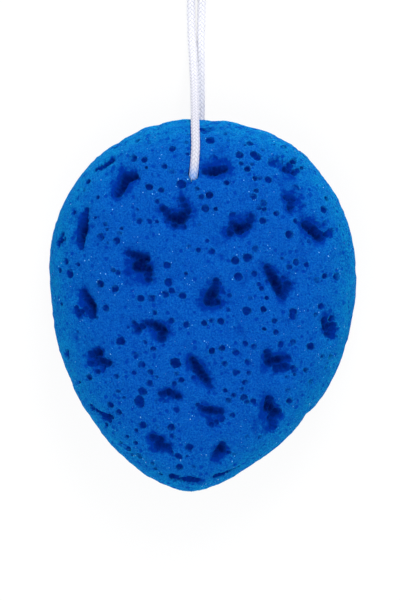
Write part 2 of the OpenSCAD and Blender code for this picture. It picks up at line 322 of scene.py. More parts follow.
def glide(points, step):
    """A smooth line through points: between two of them it is the cubic whose slopes at both are those
    between their neighbours. Its own points are step apart."""
    p = np.array(points, float)
    p = np.concatenate([p[:1], p, p[-1:]])
    t = np.linspace(0, 1, SPAN_STEPS, endpoint=False)[:, None]
    a, b, c, d = p[:-3, None], p[1:-2, None], p[2:-1, None], p[3:, None]
    line = (2 * b + (c - a) * t + (2 * a - 5 * b + 4 * c - d) * t ** 2
            + (3 * b - a - 3 * c + d) * t ** 3) / 2
    line = np.concatenate([line.reshape(-1, 3), p[-1:]])
    run = np.concatenate([[0], np.linalg.norm(np.diff(line, axis=0), axis=1).cumsum()])
    even = np.linspace(0, run[-1], max(2, round(run[-1] / step) + 1))
    return np.stack([np.interp(even, run, line[:, k]) for k in range(3)], -1), even


def rings(path, around):
    """Angles round a path, and the direction of each of them at each of the path's points."""
    along = unit(np.gradient(path, axis=0))
    across = unit(np.array([1.0, 0, 0]) - along * along[:, :1])
    turn = np.linspace(0, 2 * np.pi, around, endpoint=False)
    return turn, (np.cos(turn)[None, :, None] * across[:, None]
                  + np.sin(turn)[None, :, None] * np.cross(across, along)[:, None])


def braided(path, run, radius, around=48):
    """Points, faces and yarn height of a braided cord along path. Two families of yarns wind round it both
    ways and cross at a slant. Across itself each yarn is a half circle. Along itself it goes over two
    yarns of the other family and under the next two, as a cosine with a period of four that is offset
    by one for each yarn, so that the braid shows columns of chevrons. The surface is the higher of the
    two families."""
    turn, ring = rings(path, around)
    a = YARNS * (turn[None] / (2 * np.pi) + run[:, None] / LEAD) + FIRST_YARN
    b = YARNS * (turn[None] / (2 * np.pi) - run[:, None] / LEAD) + FIRST_YARN

    def family(own, crossed, side):
        profile = np.sqrt(np.maximum(0, 1 - (2 * (own % 1) - 1) ** 2))
        return ROUNDNESS * profile + WEAVE * side * np.cos(np.pi / 2 * (crossed + np.floor(own) - 1))

    height = np.clip(np.maximum(family(a, b, 1), family(b, a, -1)), 0, 1)
    r = radius * (1 - RELIEF * (1 - height))
    points = path[:, None] + r[..., None] * ring
    points = np.concatenate([points.reshape(-1, 3), path[:1], path[-1:]])
    return points, closed_grid(len(path), around), np.concatenate([height.ravel(), [0.5, 0.5]])


def plain_tube(path, radius, around=20):
    """A closed round tube along a path."""
    points = (path[:, None] + radius * rings(path, around)[1]).reshape(-1, 3)
    return np.concatenate([points, path[:1], path[-1:]]), closed_grid(len(path), around)


def cord_finish():
    """White yarns with painted shade between them. A shaded, duller copy of their colour is painted where
    they lie over the foam's front or under the sponge, and a lighter lit copy beyond the crown and on the
    knot. The foam's blue light is painted on them as a pale blue reflection where they lie low on it."""
    f = new_finish("white_braid")
    yarn, place = f.kept("yarn"), f.place()
    fibre = f.add("TexNoise", {}, {"Vector": place, "Scale": 6.0, "Detail": 3.0})
    clean = f.kept("clean")
    # painted shade between the yarns
    gap = f.mix(clean, DIM_GAP_SHADE, LIT_GAP_SHADE)
    # the painted shaded or the lit copy of the yarn colour, by the share of painted light
    colour = f.mix(yarn.ramp(0.1, 0.9), gap, f.mix(clean, SHADED_YARN, LIT_YARN))
    colour = f.mix(fibre * 0.25, colour, FIBRE_GREY)
    # painted reflection of the foam's blue light, weaker on the yarns' crowns
    colour = f.mix(f.kept("low").ramp(0.1, 1.0) * (1 - yarn * 0.45), colour, PAINTED_FOAM_BOUNCE)
    normal = f.add("Bump", {}, {"Strength": 0.5, "Distance": 0.0001, "Height": fibre})
    return f.end(Base_Color=colour, Roughness=0.75, Normal=normal, Sheen_Weight=0.2,
                 Subsurface_Weight=0.4, Subsurface_Scale=0.0005, Subsurface_Radius=(1.0, 1.0, 1.0))


white_braid = cord_finish()
route = [(x, y + CROWN, z) for x, y, z in ROUTE]


def cord_piece(name, points, rise_beyond_crown):
    """A strand of the cord, and its line. Its points hold the height of their yarn, how low they lie on the
    foam, which masks the painted blue reflection of the foam, and their share of the lit yarn colour against
    the painted shaded one: that share rises over a given length, beyond the crown where the last argument is
    1 and before it where it is 0."""
    path, run = glide(points, RING_STEP)
    points, faces, yarn = braided(path, run, CORD_D / 2)
    over = points[:, 2] - front_seat(points[:, 0], points[:, 1])[:, 2]
    # low masks the painted reflection of the foam's blue light
    low = np.clip(1 - np.abs(over) / CORD_D, 0, 1) * np.clip((CROWN - points[:, 1]) / CORD_D, 0, 1)
    # share of the lit yarn colour against the painted shaded one
    clean = np.clip((points[:, 1] - CROWN) / PAINTED_LIGHT_RISE + 1 - rise_beyond_crown, 0, 1)
    piece = mesh_object(name, points, faces, white_braid, yarn=yarn, low=low, clean=clean)
    return piece, path


# the front strand's painted shade lies over the foam, the rear strand's under the sponge
front, front_path = cord_piece("cord_front", route[:SPLIT + 1][::-1], rise_beyond_crown=1)
rear, rear_path = cord_piece("cord_rear", route[SPLIT:], rise_beyond_crown=0)
for piece in (front, rear):
    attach(piece, "root")
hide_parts("hanging_cord")
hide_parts("hanging_cord")

# ---- the knot -----------------------------------------------------------------

KNOT_AT = np.array([-1.7, CROWN + 59.5, 5.4])
WRAP = (5.3, 3.6)    # half width and half height of the turns' middle line
TURNS = 2.6
PITCH = 3.7          # distance between the turns
FIRST_TURN = 0.8     # angle at which they start
TUCK, TUCK_POWER = 0.55, 8    # share by which they draw in at both ends, and how late
KNOT_STEP, KNOT_SIDES = 0.3, 32

# Middle line of a tail [across, along, height], from the knot. The height is a share of its fall.
TAIL = [(1.8, -2, 0), (1.9, 4, 0), (2.6, 9, 0.6), (4, 14, 1), (5, 17.5, 1)]


def knot_strands():
    """Middle lines of the knot: turns that wind round the two strands and dive between them at both
    ends, and the two tails that leave it and come down to rest."""
    t = np.linspace(0, 1, 60)
    narrow = 1 - TUCK * (np.abs(2 * t - 1) ** TUCK_POWER)
    turn = 2 * np.pi * TURNS * t + FIRST_TURN
    wrap = np.stack([WRAP[0] * narrow * np.cos(turn), PITCH * TURNS * (t - 0.5),
                     WRAP[1] * narrow * np.sin(turn)], -1)
    fall = CORD_D / 2 - KNOT_AT[2]
    tails = [[(side * x, y, share * fall) for x, y, share in TAIL] for side in (1, -1)]
    return [wrap + KNOT_AT] + [np.array(tail) + KNOT_AT for tail in tails]


def knot_piece():
    """The knot's strands, braided as the cord is, in one mesh. It takes the lit copy of the yarn colour all
    over.
    """
    points, faces, yarn = joined([braided(*glide(line, KNOT_STEP), CORD_D / 2, around=KNOT_SIDES)
                                  for line in knot_strands()])
    return mesh_object("knot", points, faces, white_braid, yarn=yarn, clean=np.ones(len(yarn)))


knot = knot_piece()
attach(knot, "root")
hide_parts("cord_knot")
[v * MM for v in route[FRONT_MOUTH]]
(front_path[::4] * MM).tolist()
[v * MM for v in route[REAR_MOUTH]]
(rear_path[::4] * MM).tolist()

# ---- the foam: its pores ------------------------------------------------------

# Bubbles of the front's cavities [across, along, radius]. Each cavity starts a line, and two in a row that
# are nearer than BRIDGED get one more between them.
CAVITIES = [
    (-26.5, 50.5, 2.2), (-30, 50, 2.7), (-31.5, 47, 2.8), (-33, 43.5, 2.2),
    (-45.3, 37, 1.6), (-46.3, 33, 2.2), (-47.3, 29.5, 2.8), (-47.8, 25.5, 2.4), (-47.5, 22.5, 1.6),
    (-15, 37.3, 1.9), (-12.5, 34.2, 2.2), (-8.5, 33.5, 3), (-6, 36.5, 2.2), (-7.6, 41, 1.7), (-10.5, 31.2, 2),
    (-28.5, 20, 1.8), (-25.5, 18.8, 2.4), (-22.3, 18, 2.5), (-25, 15, 3), (-21.2, 13.8, 2.6), (-21, 10, 2),
    (-35.5, 56.5, 1.7), (-38, 55, 1.7), (-41.3, 53, 1.2),
    (-55, 27.5, 1.4), (-56.5, 24.3, 1.6), (-54, 25.8, 1.2),
    (1.3, 52.2, 2), (5, 52.5, 2.6), (8.5, 53.2, 2.2), (9.6, 47.5, 1.3),
    (11, 28, 2), (12, 31.5, 1.8), (14.5, 29.5, 2.8), (18, 31, 2.2), (19.2, 34.3, 1.7),
    (35.8, 56, 1.5), (33, 53.2, 1.9), (36.3, 52, 1.8), (39, 53.5, 1.1),
    (32.8, 42, 1.6), (35.5, 41.5, 1.9), (34.8, 38.5, 2.1), (34.5, 36.3, 1.3),
    (40.8, 31.2, 2.2), (43.8, 29.2, 2.8), (46.5, 26.6, 2.4), (44.5, 26.2, 1.6), (48.8, 27.6, 1.6),
    (25.5, 14.5, 1.9), (27, 11.5, 2.4), (29, 8.5, 2.8), (30.5, 5, 2.4), (31.8, 3.2, 1.9), (33.3, 8, 2),
    (32.6, 5.4, 2.1),
    (-46.8, 5, 1.9), (-45.3, 2, 2.4), (-43.5, -0.7, 2.5), (-43, -4, 2), (-46, -1.5, 1.7), (-48.8, -4, 1.6),
    (-49.5, -1, 1.1),
    (-43.5, -19.5, 2), (-41, -18.8, 2.4), (-43.8, -23, 1.6), (-40, -22, 2.3), (-36.8, -22.7, 1.9),
    (-40.8, -26, 1.3), (-40.4, -16.5, 0.9),
    (-26.5, -6.8, 1.2), (-25, -9.5, 1.8), (-21.5, -7.2, 1.6), (-18, -8, 2.3), (-15.5, -9.8, 2.6),
    (-15.8, -13, 2.2),
    (-16, -34.8, 1.6), (-13, -34.2, 2.2), (-9.5, -35.5, 1.9),
    (-3.8, -21.2, 2), (-2.5, -23.7, 2.5), (-0.7, -26.5, 2.5), (1.5, -29.2, 2.2), (3, -31.7, 1.4),
    (-42.5, -40.3, 1.1), (-40, -42, 1.3), (-37.5, -43.5, 1.9), (-35, -43.8, 1.1), (-37.3, -46.5, 1),
    (-1.7, -38.8, 1.2), (1, -41, 1.9), (3.5, -41.3, 2.3), (7, -41.5, 1.9), (3.7, -46.5, 1.5),
    (7.5, -44.8, 1.3),
    (5.5, 9.3, 1.6), (5, 6.5, 2.2), (3.8, 4, 2.8), (2.2, 1.3, 2.4), (5.4, 1.2, 2.3),
    (48.2, -6, 1.9), (49, -9, 2.3), (51.7, -8.2, 2), (51, -12, 1.9), (49, -11.5, 1.7),
    (51, -5.5, 1.8),
    (25.5, -18.5, 1.8), (26.5, -22, 2.5), (30, -21.7, 2.6), (33.3, -20.8, 1.6), (29.2, -24.8, 2.1),
    (32.6, -24.3, 2.2), (30.6, -23, 1.9), (35.5, -24.5, 1.4), (36, -27, 0.9),
    (26.3, -37, 2.1), (26.5, -40.5, 2.8), (29.5, -42.5, 2.6), (27.5, -44.5, 2.3), (28, -48, 1.7),
    (-19.5, -52, 2), (-16.5, -53, 2.2), (-17.5, -55.5, 2.2), (-13.8, -55.5, 2), (-12, -57.5, 1.2),
    (8, -54.5, 1.7), (7.5, -57, 2.5), (5.5, -59.5, 1.8), (10.5, -57.8, 1.2),
    (-11.5, -67, 1.8), (-8.5, -68, 1.3), (-5, -68.3, 1.8), (-2, -68.7, 1.7),
    (5.5, -66.8, 1.5), (8.5, -65.8, 1.3), (11.5, -64.6, 1.1), (14.5, -63.2, 0.9)]

# Single pores of the front [across, along, radius].
PORES = [
    (-11.5, 60.5, 1.2), (-26.5, 57, 1.4), (-22.3, 56.3, 1.2), (-14.6, 53.7, 1.1), (-21.5, 53.2, 0.7),
    (-20.5, 45.7, 1.3), (-15.8, 44.5, 1.1), (-8, 46.8, 1.7), (-17.5, 40, 1), (-44.3, 48, 1.1),
    (-40.4, 41.7, 0.9), (-50, 36, 1.1), (-41.5, 34, 0.8), (-37.5, 31.3, 0.9), (-37, 29.2, 0.7),
    (-24.3, 32.5, 1.2), (-17.5, 32.3, 0.8), (-31.2, 29.7, 0.8), (-39.3, 26.5, 1.4), (-33.2, 24.8, 1.3),
    (-36.7, 24.2, 0.6), (-25, 37, 0.7), (-53.3, 17, 1.3), (-55.7, 13.5, 1), (-51.8, 12.2, 1.7),
    (-48.2, 15.7, 0.9), (-32.7, 12.5, 1.1), (-34.5, 13.5, 1), (-28.6, 12.6, 1.4), (-13.7, 15.2, 1.3),
    (-6.2, 12.2, 0.8), (-5, 22.7, 0.6), (-1.9, 45, 0.9), (2.8, 42.6, 1.4), (-0.3, 41.8, 1),
    (1.3, 37.4, 1.4), (-1, 31, 0.8), (3.2, 64, 1.5), (9, 66.7, 0.8), (18.6, 62.8, 1.2), (16.7, 62.3, 0.6),
    (14.6, 58.2, 1.4), (20.3, 58.3, 1.5), (21.4, 57.3, 1.5), (17.5, 52.6, 1.2), (15.2, 54.8, 0.9),
    (19.3, 54.5, 0.7), (25.8, 48.5, 1.3), (20.5, 49, 1), (19.9, 42, 1.2), (21, 44.3, 0.9),
    (23.8, 39.4, 1.2), (22, 37.6, 0.9), (24, 37, 1), (23.5, 32.5, 1.3), (11.7, 35, 1.2), (5.2, 37.1, 0.9),
    (28.8, 35.3, 1.1), (36.4, 32.5, 1.1), (33.8, 27.2, 1.5), (36.5, 45.5, 1.4), (47.4, 37, 1.4),
    (48.3, 41.3, 1.1), (42, 24.8, 1.2), (53.8, 30.8, 0.8), (20.7, 21.7, 1.2), (17.7, 18.3, 1.6),
    (12.7, 17.2, 1.5), (20.2, 12.2, 1.2), (14, 11, 1.5), (2, 24.8, 0.9), (3.7, 20.8, 1.2),
    (33.8, 14.8, 1.1), (36.5, 16.5, 1.3), (40.5, 15.5, 1.1), (47.5, 11.2, 1.1), (52.3, 11, 1.5),
    (28, 62.3, 0.5), (-1.5, 21.2, 1), (31, 18, 0.7), (-39.3, 8.1, 1.4), (-33.8, 6.3, 1.3),
    (-23.9, 2.6, 1.4), (-19.6, 2.6, 1.3), (-13, 8.7, 1.5), (-11.8, 5.5, 1.2), (-14.2, 4.2, 1.3),
    (-7.6, 3.6, 1.4), (-37.4, -1.3, 1.3), (-18.3, -3, 1), (-12, -6.2, 1.2), (-6, -7.6, 1.2), (0.8, -7, 1.1),
    (-28.6, -8.6, 0.7), (-31.6, -14, 1.7), (-22.1, -14.3, 0.9), (-18.9, -17, 1.1), (-23.4, -23.2, 1.4),
    (-10.4, -22.4, 1.9), (-26.4, -26.4, 1), (-20, -26, 1.2), (-17.5, -27.8, 0.7), (-20.3, -30.3, 1.2),
    (-8, -29, 1.1), (-10.8, -30.5, 1), (-33.2, -27.7, 1), (-43.7, -28, 1.3), (-47.2, -29.8, 0.6),
    (-32.5, -33.4, 0.9), (-30.3, -36, 0.8), (-23, -33.6, 1.6), (-24.3, -37.1, 1.8), (-24.3, -38.2, 1.8),
    (-35.5, -38.8, 1.3), (-43, -39.5, 1.3), (-32.3, -41.5, 1.2), (-52.5, -18.2, 1.2), (-52.4, -19.8, 1.2),
    (-48.8, -10.5, 0.7), (-55, 0.3, 0.8), (3.8, -17.6, 1.2), (23.7, -1.6, 1.2), (17.3, -2.2, 1.6),
    (7.2, -6.3, 1.3), (3.7, -6, 1), (28.1, -6.2, 1.1), (24, -9.3, 0.8), (28.5, -10.6, 1.1),
    (35.3, -2.7, 1.5), (35.3, -4.3, 1.5), (16.7, -15, 1.1), (20, -16.2, 1.1), (7.7, -16.7, 1.2),
    (13.2, -18.3, 1.3), (30.6, -15.3, 1.2), (35.3, -14.4, 1.2), (42, -16.1, 1.5), (8.8, -22.8, 1.1),
    (17.8, -22.3, 1.2), (13.2, -26.2, 1.3), (18.3, -26.3, 1.1), (16.7, -30, 1.1), (8.9, -33, 0.9),
    (15.5, -32.6, 0.8), (12.2, -35, 1), (16.2, -35.8, 1.4), (17.3, -37.5, 1.1), (19.8, -37.4, 1.2),
    (10.3, -37, 1.1), (33.7, -37, 1.3), (33, -28, 0.9), (11.8, -42.7, 1.1), (42, -29.8, 1.2),
    (46.6, -20, 1.1), (49.8, -20, 1.1), (48, -24.3, 1), (40, -25, 1), (44, -3.8, 0.9), (46.3, -0.7, 1.3),
    (22.9, 6.2, 1), (22, 8, 0.9), (10.8, 3.6, 1), (25, 2.7, 0.9), (10, -1.7, 1), (52.8, 1.5, 0.5),
    (12.4, -8.8, 0.6), (-5, -55.2, 1.5), (-9.2, -58.8, 1.4), (-6, -58.6, 0.6), (-8.8, -62.8, 1.3),
    (-11.9, -47.3, 1.3), (-23.1, -46.7, 1.5), (-25.5, -48.6, 0.9), (-28.5, -55.7, 1.1), (-25.9, -53.5, 1),
    (-27.4, -58, 0.8), (-24.5, -58.5, 1.2), (-31.5, -53.3, 0.8), (-29, -51, 0.8), (22.7, -51.6, 1),
    (-0.2, 68.4, 1.1), (2.4, 68.6, 1.3), (-19.3, -61.5, 0.8), (-18, -63.5, 0.8), (-16, -65.5, 0.7)]

# Shallow dips of the front [across, along, radius].
DIPS = [
    (-34, 48, 1.8), (4.8, 57, 2.2), (30, 55.5, 2.5), (41.5, 33.5, 1.7), (47.5, 31.5, 1.6), (50.3, 28.2, 2),
    (34.5, 6, 1.8), (-15.5, -37, 2), (7.5, 5, 1.8), (-12, 51.5, 1.3), (-25.5, 64, 1.2), (-20.5, 63, 0.9),
    (-34, 61.5, 1.3), (-46, 44.5, 1.1), (-48.7, 41.5, 1.1), (-20.5, 32.3, 1.5), (-32, 27.5, 1.1),
    (10, 64, 1), (23.6, 60.2, 1.1), (22.5, 49, 1), (39.5, 38.5, 1.6), (44.5, 9.5, 1.3), (32, 61.3, 1.1),
    (-25.5, -19.5, 1.5), (-10, -26.5, 1), (-17, -37.5, 1.6), (-10, -40.5, 1.6), (31.8, -6.8, 1),
    (33, -33, 1.1), (18.5, 2.5, 1.1), (-3.2, -62.8, 1.1), (-11.6, -51, 1.3), (-17.3, -47.5, 1),
    (17.6, -51.3, 1.1), (12.4, -58.3, 1.2), (27.5, 55.3, 2.4), (1.2, 68, 2.2), (-5.6, 66.2, 0.6),
    (-6.1, 62.9, 0.9), (-5.7, 58.3, 0.7), (-6.2, 50.7, 0.9), (-4.6, 47.6, 1), (3.3, -44.8, 2.7),
    (6.8, -43.8, 2.3)]

# Nicks in the foam's edge [across, along, reach, height], of which the cord's over the crown is the widest,
# and stretches of the edge that lie a little further in or out.
NICKS = np.array([(5, CROWN, 6, -0.9), (-32.8, 63.6, 1.5, -0.6), (-17.2, 69.8, 1.5, -0.6),
                  (40.5, -43.5, 1.6, -0.6), (-25.5, 67, 2, -0.4)])
STRETCHES = np.array([(-59, 5, 17, -0.8), (49, -33, 15, 0.85), (48, 48, 7, -0.6), (18, 69.5, 7, -0.6),
                      (-29, 65.5, 5, -0.7), (20, -62, 10, -0.4), (-43, 55, 6, -0.35), (35.8, 62, 3, 0.4)])

BRIDGED = 5.5         # distance under which two bubbles of the list get one more between them
CORE_SIZE = 0.93      # size of a cavity's bubble, against its radius in the list
CORE_SINK = 0.25      # how far its middle lies below the skin, in radii
CORE_STRETCH = 1.5    # how much deeper than wide it is
CORE_LEAN = (1.5, 1.5, 1)     # how much more it leans outwards than the skin does
LIP_BUBBLES = 2       # smaller bubbles round the lip of each
LIP_REACH = 1.1       # how far from its seat they lie, in radii
LIP_SIZES, LIP_SINKS = (0.3, 0.55), (0, 0.5)      # their sizes against its radius, and their own sinks
PORE_SIZE = 1.2       # size of a single pore, against its radius in the list
DIP_SIZE, DIP_SINK = 1.15, -0.4     # a dip's middle lies over the skin, so that it is shallow

SCATTERED_PORES, PORE_RADII, PORE_SINK, PORE_STRETCH = 60, (1.15, 2.05), 0.2, 1.2
SCATTERED_PRICKS, PRICK_RADII = 170, (0.7, 1.35)
SCATTERED_CAVITIES, CAVITY_RADII = 30, (1.75, 2.65)
CAVITY_STEP = 2.9     # distance between the bubbles of a scattered cavity, whose places are in such steps
CAVITY_PLACES = ((0, 0), (1, 0), (1.5, 0.8), (-0.9, 0.7))
TURN = 0.618034       # golden share of a turn, which spreads the scattered pores evenly
BACK_REACH = 0.94     # how far along the sponge they lie, against its ends
BACK_FROM, BACK_SWEEP = 178, 184      # where round it they start and how far they go, in degrees
REST_CLEAR, MOUTH_CLEAR = 12.0, 9.0   # their room to the middle of the back and to the rear mouth

SEAT, WAY, RADIUS, SINK, STRETCH = slice(0, 3), slice(3, 6), 6, 7, 8    # columns of the rows of pores
ASKEW = [0.31, 0.2, 0.93]     # a direction that hardly any pore faces
PORE_REACH = 1.25     # how far a pore and its lumps reach from its middle, in radii
GLOBE_ROWS = {2.2: 12, 1.4: 9, 0.8: 6}    # rows of a globe's grid for a radius over each of these sizes
FEWEST_ROWS = 5
FIRST_SEED = 20       # seed of the first group's lumps
WOBBLE_SIZE, WOBBLE = 2.4, 0.1    # size of a globe's lumps, and their height against its radius
rng = np.random.default_rng(11)


def raised(p, places):
    """Height of the places at points: for each place, a bell curve of the distance from it, as wide as its
    reach. It fades out towards the flat back."""
    away = np.linalg.norm(p[:, None, :2] - places[:, :2], axis=-1) / places[:, 2]
    return (places[:, 3] * np.exp(-away ** 2)).sum(1) * np.clip(p[:, 2] / BACK_FADE, 0, 1)


def beside(ways):
    """Two directions at right angles to each way and to each other."""
    side = unit(np.cross(ways, ASKEW))
    return side, np.cross(ways, side)


def scattered(first, count):
    """Evenly spread seats on the back and the rim, and the way each one faces."""
    k = np.arange(count) + first
    s = BACK_REACH * (2 * (k % count + 0.5) / count - 1)
    seats = skin(s, np.radians(BACK_FROM + BACK_SWEEP * (k * TURN % 1)))
    return seats, np.where(seats[:, 2:] > 0, facing(seats), [0, 0, -1.0])


def free(seats, room):
    """Which seats keep room from the middle of the back and from the cord's rear mouth."""
    middle = (seats[:, 2] > 0) | (np.linalg.norm(seats, axis=1) > REST_CLEAR + room)
    return middle & (np.linalg.norm(seats - route[REAR_MOUTH], axis=1) > MOUTH_CLEAR + room)


def pore_rows():
    """Every pore as a row of [seat, way, radius, sink, stretch]: those of the front, then those of the
    back and the rim. Each bubble of a cavity has a few smaller ones round its lip, so that its edge is
    ragged and its wall falls in steps."""
    rows = []

    def put(seats, ways, radii, sink, stretch):
        full = lambda value: np.broadcast_to(value, len(radii))[:, None]
        seats = seats + full(raised(seats, STRETCHES)) * ways
        rows.append(np.concatenate([seats, ways, full(radii), full(sink), full(stretch)], 1))

    def put_bubbles(seats, ways, radii):
        put(seats, unit(ways * CORE_LEAN), CORE_SIZE * radii, CORE_SINK, CORE_STRETCH)
        side, other = beside(ways)
        for _ in range(LIP_BUBBLES):
            turn = rng.uniform(0, 2 * np.pi, len(radii))[:, None]
            away = LIP_REACH * radii[:, None] * (np.cos(turn) * side + np.sin(turn) * other)
            put(seats + away, ways, radii * rng.uniform(*LIP_SIZES, len(radii)),
                rng.uniform(*LIP_SINKS, len(radii)), 1.0)

    cavities, pores, dips = (np.array(of) for of in (CAVITIES, PORES, DIPS))
    pairs = (cavities[1:] + cavities[:-1]) / 2
    joint = np.linalg.norm(np.diff(cavities[:, :2], axis=0), axis=1) < BRIDGED
    cavities = np.concatenate([cavities, pairs[joint]])
    seats = front_seat(cavities[:, 0], cavities[:, 1])
    put_bubbles(seats, facing(seats), cavities[:, 2])
    seats = front_seat(pores[:, 0], pores[:, 1])
    put(seats, facing(seats), PORE_SIZE * pores[:, 2], 0.0, 1.0)
    seats = front_seat(dips[:, 0], dips[:, 1])
    put(seats, facing(seats), DIP_SIZE * dips[:, 2], DIP_SINK, 1.0)
    in_front = sum(len(r) for r in rows)

    seats, ways = scattered(0, SCATTERED_PORES)
    put(seats, ways, rng.uniform(*PORE_RADII, SCATTERED_PORES), PORE_SINK, PORE_STRETCH)
    seats, ways = scattered(7, SCATTERED_PRICKS)
    put(seats, ways, rng.uniform(*PRICK_RADII, SCATTERED_PRICKS), 0.0, 1.0)
    seats, ways = scattered(0.5, SCATTERED_CAVITIES)
    heading = rng.uniform(0, 2 * np.pi, SCATTERED_CAVITIES)
    rise = np.full(SCATTERED_CAVITIES, 0.3)
    side = unit(np.cross(ways, np.stack([np.cos(heading), np.sin(heading), rise], -1)))
    other = np.cross(ways, side)
    for along, across in CAVITY_PLACES:
        put_bubbles(seats + CAVITY_STEP * (along * side + across * other), ways,
                    rng.uniform(*CAVITY_RADII, SCATTERED_CAVITIES))
    rows = np.concatenate(rows)
    kept = free(rows[:, SEAT], rows[:, RADIUS])
    kept[:in_front] = True
    return rows[kept]


def globes(rows, detail, seed):
    """One closed, slightly lumpy globe a pore. Its middle lies sinks radii below its seat, and it is
    stretched along its way. detail is the rows of its grid."""
    seats, ways, radii, sinks, stretches = (rows[:, c] for c in (SEAT, WAY, RADIUS, SINK, STRETCH))
    lat, lon = detail, round(1.6 * detail)
    v = np.linspace(0, np.pi, lat + 2)[1:-1]
    w = np.linspace(0, 2 * np.pi, lon, endpoint=False)
    ring = np.stack([np.sin(v)[:, None] * np.cos(w), np.sin(v)[:, None] * np.sin(w),
                     np.cos(v)[:, None] * np.ones(lon)], -1).reshape(-1, 3)
    ball = np.concatenate([ring, [[0, 0, 1], [0, 0, -1]]])
    shapes = np.repeat(ball[None], len(radii), 0)
    shapes[:, :, 2] *= stretches[:, None]
    turned = shapes @ np.stack([*beside(ways), ways], 1)
    points = (seats - (sinks * radii)[:, None] * ways)[:, None] + radii[:, None, None] * turned
    wobble = np.stack([lumps(points, WOBBLE_SIZE, seed + k) for k in range(3)], -1)
    points += WOBBLE * radii[:, None, None] * wobble
    faces = closed_grid(lat, lon)
    return points.reshape(-1, 3), [[i + n * len(ball) for i in f] for n in range(len(radii)) for f in faces]


def apart(rows):
    """A group number for each pore, so that no two pores of a group touch: a pore takes the first group
    that none of its neighbours before it has."""
    middle = rows[:, SEAT] - (rows[:, SINK] * rows[:, RADIUS])[:, None] * rows[:, WAY]
    reach = PORE_REACH * rows[:, RADIUS] * np.maximum(1, rows[:, STRETCH])
    near = np.linalg.norm(middle[:, None] - middle, axis=-1) < reach[:, None] + reach
    group = np.full(len(rows), -1)
    for n, close in enumerate(near):
        taken = set(group[:n][close[:n]].tolist())
        group[n] = next(g for g in range(len(rows)) if g not in taken)
    return group


# ---- the foam: cutting it -----------------------------------------------------

STATIONS, SIDES = 110, 180    # points along the skin and round each slice
PASSAGE_CLEAR = 0.4           # room between the cord and its passage
PASSAGE_STEP = 0.8            # distance between the rings of the passage
LUMPS = [(0.25, 16, 3), (0.12, 5, 4)]     # height, size and seed of the skin's lumps
GRIT = 0.08                   # height of its finest unevenness
SUNK, SUNK_REACH = 0.85, 1.65     # how deep and how far round a bubble the skin sinks, in radii
SHARP_ANGLE = 0.8             # in radians, the angle from which an edge stays sharp


def cleaned(mesh):
    """The mesh as triangles, less those that lie back to back and the crumbs that cutting leaves loose:
    only what hangs together with its top stays."""
    solid = bmesh.new()
    solid.from_mesh(mesh)
    bmesh.ops.triangulate(solid, faces=solid.faces, ngon_method="EAR_CLIP")
    twins = {}
    for face in solid.faces:
        twins.setdefault(frozenset(face.verts), []).append(face)
    doubled = [face for same in twins.values() if len(same) > 1 for face in same]
    bmesh.ops.delete(solid, geom=doubled, context="FACES")
    reached = fresh = {max(solid.verts, key=lambda vert: vert.co.z)}
    while fresh:
        fresh = {edge.other_vert(vert) for vert in fresh for edge in vert.link_edges} - reached
        reached = reached | fresh
    bmesh.ops.delete(solid, geom=[vert for vert in solid.verts if vert not in reached], context="VERTS")
    solid.to_mesh(mesh)
    solid.free()
    return mesh


def sunk(p, bubbles):
    """Depth to which the skin sinks round the bubbles of the cavities: for the nearest one, a bell curve of
    the distance from it, against its radius."""
    away = np.linalg.norm(p[:, None] - bubbles[:, SEAT], axis=-1) / bubbles[:, RADIUS]
    return (SUNK * np.exp(-(away / SUNK_REACH) ** 2) * bubbles[:, RADIUS]).max(1)


def whole_skin(bubbles):
    """Points of the pebble before it is cut: a little lumpy above its flat back, with the nicks and the
    stretches of its edge, and sunk round its cavities where it faces up or down."""
    s, a = np.meshgrid(np.sin(np.linspace(-np.pi / 2, np.pi / 2, STATIONS)[1:-1]),
                       np.linspace(0, 2 * np.pi, SIDES, endpoint=False), indexing="ij")
    points = np.concatenate([skin(s, a).reshape(-1, 3), skin(np.array([-1.0, 1.0]), np.zeros(2))])
    above = np.clip(points[:, 2:] / BACK_FADE, 0, 1)
    way = facing(points)
    level = np.clip(1.5 * np.abs(way[:, 2]) - 0.4, 0, 1)
    uneven = (sum(height * lumps(points, size, seed) for height, size, seed in LUMPS)
              + GRIT * rng.normal(size=len(points)) - sunk(points, bubbles) * level)
    edges = raised(points, NICKS) + raised(points, STRETCHES)
    return points + way * (above * uneven[:, None] + edges[:, None])


def cutters(rows):
    """What is taken out of the foam: the cord's passage, then each group of pores as one mesh."""
    surfaces = [[plain_tube(glide(route, PASSAGE_STEP)[0], CORD_D / 2 + PASSAGE_CLEAR)]]
    group = apart(rows)
    for g in range(group.max() + 1):
        own = rows[group == g]
        detail = np.select([own[:, RADIUS] > size for size in GLOBE_ROWS], list(GLOBE_ROWS.values()),
                           FEWEST_ROWS)
        surfaces.append([globes(own[detail == d], d, FIRST_SEED + g) for d in np.unique(detail).tolist()])
    return [mesh_object(f"cutter_{n}", *joined(parts)) for n, parts in enumerate(surfaces)]


def cut(body, tools):
    """The body's mesh less the tools, which are then removed."""
    for tool in tools:
        made = body.modifiers.new("boolean", "BOOLEAN")
        made.object, made.operation, made.solver = tool, "DIFFERENCE", "MANIFOLD"
    mesh = bpy.data.meshes.new_from_object(body.evaluated_get(bpy.context.evaluated_depsgraph_get()))
    body.modifiers.clear()
    for tool in tools:
        bpy.data.objects.remove(tool)
    return cleaned(mesh)


def foam_piece():
    """The pebble less the cord's passage and every pore. Its points hold their depth below the skin, and
    how far the skin there is turned away from the front and the back."""
    rows = pore_rows()
    bubbles = rows[rows[:, STRETCH] == CORE_STRETCH]
    body = mesh_object("foam", whole_skin(bubbles), closed_grid(STATIONS - 2, SIDES))
    mesh = body.data = cut(body, cutters(rows))
    p = points_of(mesh)
    below = np.maximum(0, depth(p) + np.minimum(0, raised(p, STRETCHES)))
    # the material paints shade by the depth, and a paler sheen by how far the skin turns away
    keep(mesh, depth=below, edge=1 - np.abs(facing(p)[:, 2]))
    mesh.shade_smooth()
    mesh.set_sharp_from_angle(angle=SHARP_ANGLE)
    return body
